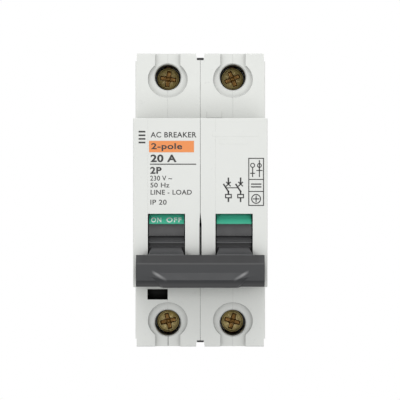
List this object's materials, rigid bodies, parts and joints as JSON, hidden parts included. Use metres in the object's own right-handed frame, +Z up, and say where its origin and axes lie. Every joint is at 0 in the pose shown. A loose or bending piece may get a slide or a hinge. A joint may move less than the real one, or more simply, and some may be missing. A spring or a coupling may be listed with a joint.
{
  "type": "miniature circuit breaker",
  "caption": "Rail-mounted miniature circuit breaker: joined grey poles with a common dark toggle bar, screw clamp terminals above and below, and a snap foot at the back.",
  "frame": {"origin": "centre of the seat that lies on the front of the mounting rail, midway between the poles and midway between the terminal ends", "axes": "+Z up along the tall direction, +Y towards the rail, +X to the right of someone facing the front"},
  "size_m": [0.0358, 0.073, 0.081],
  "materials": {
    "case_plastic": "light grey moulded thermoset, fine matt",
    "toggle_plastic": "dark grey moulded plastic, satin",
    "black_plastic": "black moulded plastic",
    "inner_plastic": "natural moulded plastic",
    "steel": "plain zinc-plated steel",
    "zinc_plate": "zinc-plated pressed steel",
    "spring_steel": "drawn spring wire",
    "yellow_zinc": "steel with yellow zinc plating",
    "copper": "bright copper",
    "copper_braid": "woven bare copper",
    "bimetal_strip": "rolled bimetal"
  },
  "bodies": {
    "case": {"case_cover_1": "case_plastic", "case_base_1": "case_plastic", "case_cover_2": "case_plastic", "case_base_2": "case_plastic", "top_link_clip": "black_plastic", "bottom_link_clip": "black_plastic", "rear_link_clip": "black_plastic", "case_rivet_1": "steel", "case_rivet_2": "steel", "case_rivet_3": "steel", "case_rivet_4": "steel", "case_rivet_5": "steel", "carrier_pin_1": "steel", "contact_spring_1": "spring_steel", "fixed_contact_1": "copper", "magnet_coil_1": "copper", "coil_bobbin_1": "inner_plastic", "magnet_yoke_1": "steel", "calibration_screw_1": "yellow_zinc", "braid_1": "copper_braid", "arc_chute_1": "steel", "top_terminal_strip_1": "copper", "bottom_terminal_strip_1": "copper", "carrier_pin_2": "steel", "contact_spring_2": "spring_steel", "fixed_contact_2": "copper", "magnet_coil_2": "copper", "coil_bobbin_2": "inner_plastic", "magnet_yoke_2": "steel", "calibration_screw_2": "yellow_zinc", "braid_2": "copper_braid", "arc_chute_2": "steel", "top_terminal_strip_2": "copper", "bottom_terminal_strip_2": "copper"},
    "handle": {"toggle_1": "toggle_plastic", "toggle_2": "toggle_plastic", "handle_tie_bar": "toggle_plastic"},
    "trip": {"trip_bar": "steel", "trip_lever_1": "inner_plastic", "trip_lever_2": "inner_plastic"},
    "link_1": {"toggle_link_1": "steel"},
    "contact_arm_1": {"contact_carrier_1": "black_plastic", "moving_contact_1": "copper"},
    "plunger_1": {"plunger_1": "steel"},
    "bimetal_1": {"bimetal_1": "bimetal_strip"},
    "top_screw_1": {"top_terminal_screw_1": "yellow_zinc"},
    "top_cage_1": {"top_clamp_cage_1": "zinc_plate"},
    "bottom_screw_1": {"bottom_terminal_screw_1": "yellow_zinc"},
    "bottom_cage_1": {"bottom_clamp_cage_1": "zinc_plate"},
    "rail_clip_1": {"din_clip_1": "black_plastic"},
    "link_2": {"toggle_link_2": "steel"},
    "contact_arm_2": {"contact_carrier_2": "black_plastic", "moving_contact_2": "copper"},
    "plunger_2": {"plunger_2": "steel"},
    "bimetal_2": {"bimetal_2": "bimetal_strip"},
    "top_screw_2": {"top_terminal_screw_2": "yellow_zinc"},
    "top_cage_2": {"top_clamp_cage_2": "zinc_plate"},
    "bottom_screw_2": {"bottom_terminal_screw_2": "yellow_zinc"},
    "bottom_cage_2": {"bottom_clamp_cage_2": "zinc_plate"},
    "rail_clip_2": {"din_clip_2": "black_plastic"}
  },
  "joints": [
    {"name": "handle_swing", "type": "hinge", "parent": "case", "child": "handle", "pos_m": [0, -0.0505, -0.0122], "axis": [-1, 0, 0], "range_deg": [0, 46]},
    {"name": "trip_bar_turn", "type": "hinge", "parent": "case", "child": "trip", "pos_m": [0, -0.03, 0.009], "axis": [-1, 0, 0], "range_deg": [0, 6], "stiffness_Nm_per_rad": 0.02},
    {"name": "link_turn_1", "type": "hinge", "parent": "handle", "child": "link_1", "pos_m": [-0.009, -0.04764, -0.00693], "axis": [1, 0, 0], "range_deg": [0, 54]},
    {"name": "contact_turn_1", "type": "hinge", "parent": "case", "child": "contact_arm_1", "pos_m": [-0.009, -0.024, 0.004], "axis": [1, 0, 0], "range_deg": [0, 14.05], "deforming": ["contact_spring_1", "braid_1"]},
    {"name": "plunger_slide_1", "type": "slide", "parent": "case", "child": "plunger_1", "axis": [0, 0, -1], "range_m": [0, 0.0021], "stiffness_N_per_m": 60},
    {"name": "bimetal_bend_1", "type": "hinge", "parent": "case", "child": "bimetal_1", "pos_m": [-0.009, -0.0191, 0.0252], "axis": [-1, 0, 0], "range_deg": [0, 3], "stiffness_Nm_per_rad": 0.5},
    {"name": "top_screw_turn_1", "type": "hinge", "parent": "case", "child": "top_screw_1", "pos_m": [-0.009, -0.035, 0.034], "axis": [0, 1, 0], "range_deg": [0, 2476]},
    {"name": "top_cage_slide_1", "type": "slide", "parent": "case", "child": "top_cage_1", "axis": [0, -1, 0], "range_m": [0, 0.0055]},
    {"name": "bottom_screw_turn_1", "type": "hinge", "parent": "case", "child": "bottom_screw_1", "pos_m": [-0.009, -0.035, -0.034], "axis": [0, 1, 0], "range_deg": [0, 2476]},
    {"name": "bottom_cage_slide_1", "type": "slide", "parent": "case", "child": "bottom_cage_1", "axis": [0, -1, 0], "range_m": [0, 0.0055]},
    {"name": "rail_clip_slide_1", "type": "slide", "parent": "case", "child": "rail_clip_1", "axis": [0, 0, -1], "range_m": [0, 0.004], "stiffness_N_per_m": 1500},
    {"name": "link_turn_2", "type": "hinge", "parent": "handle", "child": "link_2", "pos_m": [0.009, -0.04764, -0.00693], "axis": [1, 0, 0], "range_deg": [0, 54]},
    {"name": "contact_turn_2", "type": "hinge", "parent": "case", "child": "contact_arm_2", "pos_m": [0.009, -0.024, 0.004], "axis": [1, 0, 0], "range_deg": [0, 14.05], "deforming": ["contact_spring_2", "braid_2"]},
    {"name": "plunger_slide_2", "type": "slide", "parent": "case", "child": "plunger_2", "axis": [0, 0, -1], "range_m": [0, 0.0021], "stiffness_N_per_m": 60},
    {"name": "bimetal_bend_2", "type": "hinge", "parent": "case", "child": "bimetal_2", "pos_m": [0.009, -0.0191, 0.0252], "axis": [-1, 0, 0], "range_deg": [0, 3], "stiffness_Nm_per_rad": 0.5},
    {"name": "top_screw_turn_2", "type": "hinge", "parent": "case", "child": "top_screw_2", "pos_m": [0.009, -0.035, 0.034], "axis": [0, 1, 0], "range_deg": [0, 2476]},
    {"name": "top_cage_slide_2", "type": "slide", "parent": "case", "child": "top_cage_2", "axis": [0, -1, 0], "range_m": [0, 0.0055]},
    {"name": "bottom_screw_turn_2", "type": "hinge", "parent": "case", "child": "bottom_screw_2", "pos_m": [0.009, -0.035, -0.034], "axis": [0, 1, 0], "range_deg": [0, 2476]},
    {"name": "bottom_cage_slide_2", "type": "slide", "parent": "case", "child": "bottom_cage_2", "axis": [0, -1, 0], "range_m": [0, 0.0055]},
    {"name": "rail_clip_slide_2", "type": "slide", "parent": "case", "child": "rail_clip_2", "axis": [0, 0, -1], "range_m": [0, 0.004], "stiffness_N_per_m": 1500}
  ],
  "couplings": [
    {"joint": "link_turn_1", "follows": "handle_swing", "ratio": 1.1672},
    {"joint": "contact_turn_1", "follows": "handle_swing", "ratio": 0.30435},
    {"joint": "top_screw_turn_1", "follows": "top_cage_slide_1", "rad_per_m": 7854},
    {"joint": "bottom_screw_turn_1", "follows": "bottom_cage_slide_1", "rad_per_m": 7854},
    {"joint": "link_turn_2", "follows": "handle_swing", "ratio": 1.1672},
    {"joint": "contact_turn_2", "follows": "handle_swing", "ratio": 0.30435},
    {"joint": "top_screw_turn_2", "follows": "top_cage_slide_2", "rad_per_m": 7854},
    {"joint": "bottom_screw_turn_2", "follows": "bottom_cage_slide_2", "rad_per_m": 7854}
  ]
}
